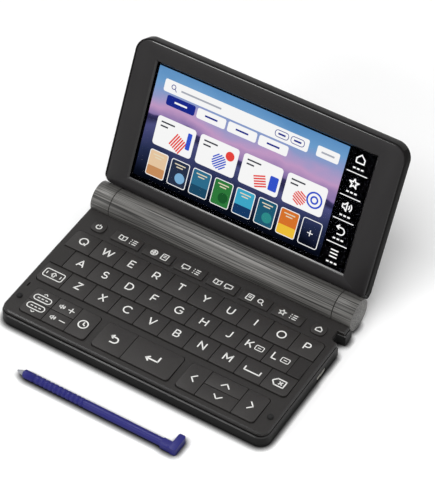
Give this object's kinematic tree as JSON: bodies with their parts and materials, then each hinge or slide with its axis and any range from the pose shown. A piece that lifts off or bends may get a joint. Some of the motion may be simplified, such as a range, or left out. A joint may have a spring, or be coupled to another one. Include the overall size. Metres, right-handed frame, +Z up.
{
  "type": "electronic dictionary",
  "caption": "Pocket electronic dictionary: touch display in a lid on a battery barrel hinge, full letter keyboard with lower rocker keys, and a separate hooked stylus.",
  "frame": {"origin": "centre of the case underside, on its flat face, 0.6 mm above the table that the pads stand on", "axes": "+X to the right of the user, +Y away from the user towards the hinge, +Z up"},
  "size_m": [0.1478, 0.155, 0.0869],
  "materials": {
    "case_plastic": "satin",
    "deck_plastic": "satin",
    "key_plastic": "matt",
    "lid_plastic": "gloss",
    "bezel_plastic": "satin",
    "barrel_plastic": "metallic paint, brushed along its length",
    "door_plastic": "metallic paint",
    "touch_glass": "polished",
    "panel_plastic": "lit picture",
    "key_rubber": "matt",
    "foot_rubber": "matt",
    "circuit_board": "satin",
    "socket_plastic": "matt",
    "plated_steel": "plated",
    "screw_steel": "black",
    "axle_steel": "ground",
    "cell_can": "printed can",
    "stylus_plastic": "satin"
  },
  "bodies": {
    "base": {"battery_cells": "cell_can", "battery_contacts": "plated_steel", "case_screws": "screw_steel", "headphone_jack": "socket_plastic", "hinge_barrel": "barrel_plastic", "key_membrane": "key_rubber", "lower_case": "case_plastic", "main_board": "circuit_board", "rubber_pads": "foot_rubber", "speaker": "socket_plastic", "upper_case": "deck_plastic", "usb_socket": "plated_steel"},
    "lid": {"lid_cover": "lid_plastic", "lid_bezel": "bezel_plastic", "touch_glass": "touch_glass", "display_panel": "panel_plastic", "hinge_ends": "barrel_plastic", "hinge_axles": "axle_steel"},
    "battery_door": {"battery_door": "door_plastic"},
    "stylus": {"stylus": "stylus_plastic"},
    "key_a": {"key_a": "key_plastic"},
    "key_b": {"key_b": "key_plastic"},
    "key_back": {"key_back": "key_plastic"},
    "key_c": {"key_c": "key_plastic"},
    "key_d": {"key_d": "key_plastic"},
    "key_delete": {"key_delete": "key_plastic"},
    "key_e": {"key_e": "key_plastic"},
    "key_enter": {"key_enter": "key_plastic"},
    "key_f": {"key_f": "key_plastic"},
    "key_g": {"key_g": "key_plastic"},
    "key_h": {"key_h": "key_plastic"},
    "key_history": {"key_history": "key_plastic"},
    "key_home": {"key_home": "key_plastic"},
    "key_i": {"key_i": "key_plastic"},
    "key_j": {"key_j": "key_plastic"},
    "key_k": {"key_k": "key_plastic"},
    "key_l": {"key_l": "key_plastic"},
    "key_left": {"key_left": "key_plastic"},
    "key_m": {"key_m": "key_plastic"},
    "key_n": {"key_n": "key_plastic"},
    "key_o": {"key_o": "key_plastic"},
    "key_p": {"key_p": "key_plastic"},
    "key_power": {"key_power": "key_plastic"},
    "key_q": {"key_q": "key_plastic"},
    "key_r": {"key_r": "key_plastic"},
    "key_right": {"key_right": "key_plastic"},
    "key_s": {"key_s": "key_plastic"},
    "key_shift": {"key_shift": "key_plastic"},
    "key_space": {"key_space": "key_plastic"},
    "key_t": {"key_t": "key_plastic"},
    "key_u": {"key_u": "key_plastic"},
    "key_v": {"key_v": "key_plastic"},
    "key_w": {"key_w": "key_plastic"},
    "key_x": {"key_x": "key_plastic"},
    "key_y": {"key_y": "key_plastic"},
    "key_z": {"key_z": "key_plastic"},
    "function_keys": {"function_keys": "key_plastic"},
    "dictionary_rocker": {"dictionary_rocker": "key_plastic"},
    "up_down_rocker": {"up_down_rocker": "key_plastic"},
    "volume_rocker": {"volume_rocker": "key_plastic"}
  },
  "joints": [
    {"name": "lid_hinge", "type": "hinge", "parent": "base", "child": "lid", "pos_m": [0, 0.039, 0.0094], "axis": [-1, 0, 0], "range_deg": [-116.6, 33.4]},
    {"name": "battery_door_slide", "type": "slide", "parent": "base", "child": "battery_door", "axis": [0, 0.5, -0.866], "range_m": [0, 0.02]},
    {"name": "stylus_lift", "type": "slide", "parent": "base", "child": "stylus", "axis": [0, 0, 1], "range_m": [0, 0.04]},
    {"name": "key_a_press", "type": "slide", "parent": "base", "child": "key_a", "axis": [0, 0, -1], "range_m": [0, 0.0006], "stiffness_N_per_m": 750},
    {"name": "key_b_press", "type": "slide", "parent": "base", "child": "key_b", "axis": [0, 0, -1], "range_m": [0, 0.0006], "stiffness_N_per_m": 750},
    {"name": "key_back_press", "type": "slide", "parent": "base", "child": "key_back", "axis": [0, 0, -1], "range_m": [0, 0.0006], "stiffness_N_per_m": 750},
    {"name": "key_c_press", "type": "slide", "parent": "base", "child": "key_c", "axis": [0, 0, -1], "range_m": [0, 0.0006], "stiffness_N_per_m": 750},
    {"name": "key_d_press", "type": "slide", "parent": "base", "child": "key_d", "axis": [0, 0, -1], "range_m": [0, 0.0006], "stiffness_N_per_m": 750},
    {"name": "key_delete_press", "type": "slide", "parent": "base", "child": "key_delete", "axis": [0, 0, -1], "range_m": [0, 0.0006], "stiffness_N_per_m": 750},
    {"name": "key_e_press", "type": "slide", "parent": "base", "child": "key_e", "axis": [0, 0, -1], "range_m": [0, 0.0006], "stiffness_N_per_m": 750},
    {"name": "key_enter_press", "type": "slide", "parent": "base", "child": "key_enter", "axis": [0, 0, -1], "range_m": [0, 0.0006], "stiffness_N_per_m": 750},
    {"name": "key_f_press", "type": "slide", "parent": "base", "child": "key_f", "axis": [0, 0, -1], "range_m": [0, 0.0006], "stiffness_N_per_m": 750},
    {"name": "key_g_press", "type": "slide", "parent": "base", "child": "key_g", "axis": [0, 0, -1], "range_m": [0, 0.0006], "stiffness_N_per_m": 750},
    {"name": "key_h_press", "type": "slide", "parent": "base", "child": "key_h", "axis": [0, 0, -1], "range_m": [0, 0.0006], "stiffness_N_per_m": 750},
    {"name": "key_history_press", "type": "slide", "parent": "base", "child": "key_history", "axis": [0, 0, -1], "range_m": [0, 0.0006], "stiffness_N_per_m": 750},
    {"name": "key_home_press", "type": "slide", "parent": "base", "child": "key_home", "axis": [0, 0, -1], "range_m": [0, 0.0006], "stiffness_N_per_m": 750},
    {"name": "key_i_press", "type": "slide", "parent": "base", "child": "key_i", "axis": [0, 0, -1], "range_m": [0, 0.0006], "stiffness_N_per_m": 750},
    {"name": "key_j_press", "type": "slide", "parent": "base", "child": "key_j", "axis": [0, 0, -1], "range_m": [0, 0.0006], "stiffness_N_per_m": 750},
    {"name": "key_k_press", "type": "slide", "parent": "base", "child": "key_k", "axis": [0, 0, -1], "range_m": [0, 0.0006], "stiffness_N_per_m": 750},
    {"name": "key_l_press", "type": "slide", "parent": "base", "child": "key_l", "axis": [0, 0, -1], "range_m": [0, 0.0006], "stiffness_N_per_m": 750},
    {"name": "key_left_press", "type": "slide", "parent": "base", "child": "key_left", "axis": [0, 0, -1], "range_m": [0, 0.0006], "stiffness_N_per_m": 750},
    {"name": "key_m_press", "type": "slide", "parent": "base", "child": "key_m", "axis": [0, 0, -1], "range_m": [0, 0.0006], "stiffness_N_per_m": 750},
    {"name": "key_n_press", "type": "slide", "parent": "base", "child": "key_n", "axis": [0, 0, -1], "range_m": [0, 0.0006], "stiffness_N_per_m": 750},
    {"name": "key_o_press", "type": "slide", "parent": "base", "child": "key_o", "axis": [0, 0, -1], "range_m": [0, 0.0006], "stiffness_N_per_m": 750},
    {"name": "key_p_press", "type": "slide", "parent": "base", "child": "key_p", "axis": [0, 0, -1], "range_m": [0, 0.0006], "stiffness_N_per_m": 750},
    {"name": "key_power_press", "type": "slide", "parent": "base", "child": "key_power", "axis": [0, 0, -1], "range_m": [0, 0.0006], "stiffness_N_per_m": 750},
    {"name": "key_q_press", "type": "slide", "parent": "base", "child": "key_q", "axis": [0, 0, -1], "range_m": [0, 0.0006], "stiffness_N_per_m": 750},
    {"name": "key_r_press", "type": "slide", "parent": "base", "child": "key_r", "axis": [0, 0, -1], "range_m": [0, 0.0006], "stiffness_N_per_m": 750},
    {"name": "key_right_press", "type": "slide", "parent": "base", "child": "key_right", "axis": [0, 0, -1], "range_m": [0, 0.0006], "stiffness_N_per_m": 750},
    {"name": "key_s_press", "type": "slide", "parent": "base", "child": "key_s", "axis": [0, 0, -1], "range_m": [0, 0.0006], "stiffness_N_per_m": 750},
    {"name": "key_shift_press", "type": "slide", "parent": "base", "child": "key_shift", "axis": [0, 0, -1], "range_m": [0, 0.0006], "stiffness_N_per_m": 750},
    {"name": "key_space_press", "type": "slide", "parent": "base", "child": "key_space", "axis": [0, 0, -1], "range_m": [0, 0.0006], "stiffness_N_per_m": 750},
    {"name": "key_t_press", "type": "slide", "parent": "base", "child": "key_t", "axis": [0, 0, -1], "range_m": [0, 0.0006], "stiffness_N_per_m": 750},
    {"name": "key_u_press", "type": "slide", "parent": "base", "child": "key_u", "axis": [0, 0, -1], "range_m": [0, 0.0006], "stiffness_N_per_m": 750},
    {"name": "key_v_press", "type": "slide", "parent": "base", "child": "key_v", "axis": [0, 0, -1], "range_m": [0, 0.0006], "stiffness_N_per_m": 750},
    {"name": "key_w_press", "type": "slide", "parent": "base", "child": "key_w", "axis": [0, 0, -1], "range_m": [0, 0.0006], "stiffness_N_per_m": 750},
    {"name": "key_x_press", "type": "slide", "parent": "base", "child": "key_x", "axis": [0, 0, -1], "range_m": [0, 0.0006], "stiffness_N_per_m": 750},
    {"name": "key_y_press", "type": "slide", "parent": "base", "child": "key_y", "axis": [0, 0, -1], "range_m": [0, 0.0006], "stiffness_N_per_m": 750},
    {"name": "key_z_press", "type": "slide", "parent": "base", "child": "key_z", "axis": [0, 0, -1], "range_m": [0, 0.0006], "stiffness_N_per_m": 750},
    {"name": "function_keys_press", "type": "slide", "parent": "base", "child": "function_keys", "axis": [0, 0, -1], "range_m": [0, 0.0006], "stiffness_N_per_m": 4500},
    {"name": "dictionary_rocker_tip", "type": "hinge", "parent": "base", "child": "dictionary_rocker", "pos_m": [-0.05842, -0.0344, 0.0076], "axis": [1, 0, 0], "range_deg": [-2.4, 2.4], "stiffness_Nm_per_rad": 0.05},
    {"name": "up_down_rocker_tip", "type": "hinge", "parent": "base", "child": "up_down_rocker", "pos_m": [0.04308, -0.0344, 0.0076], "axis": [1, 0, 0], "range_deg": [-2.4, 2.4], "stiffness_Nm_per_rad": 0.05},
    {"name": "volume_rocker_tip", "type": "hinge", "parent": "base", "child": "volume_rocker", "pos_m": [-0.04548, -0.0344, 0.0076], "axis": [1, 0, 0], "range_deg": [-2.4, 2.4], "stiffness_Nm_per_rad": 0.05}
  ]
}
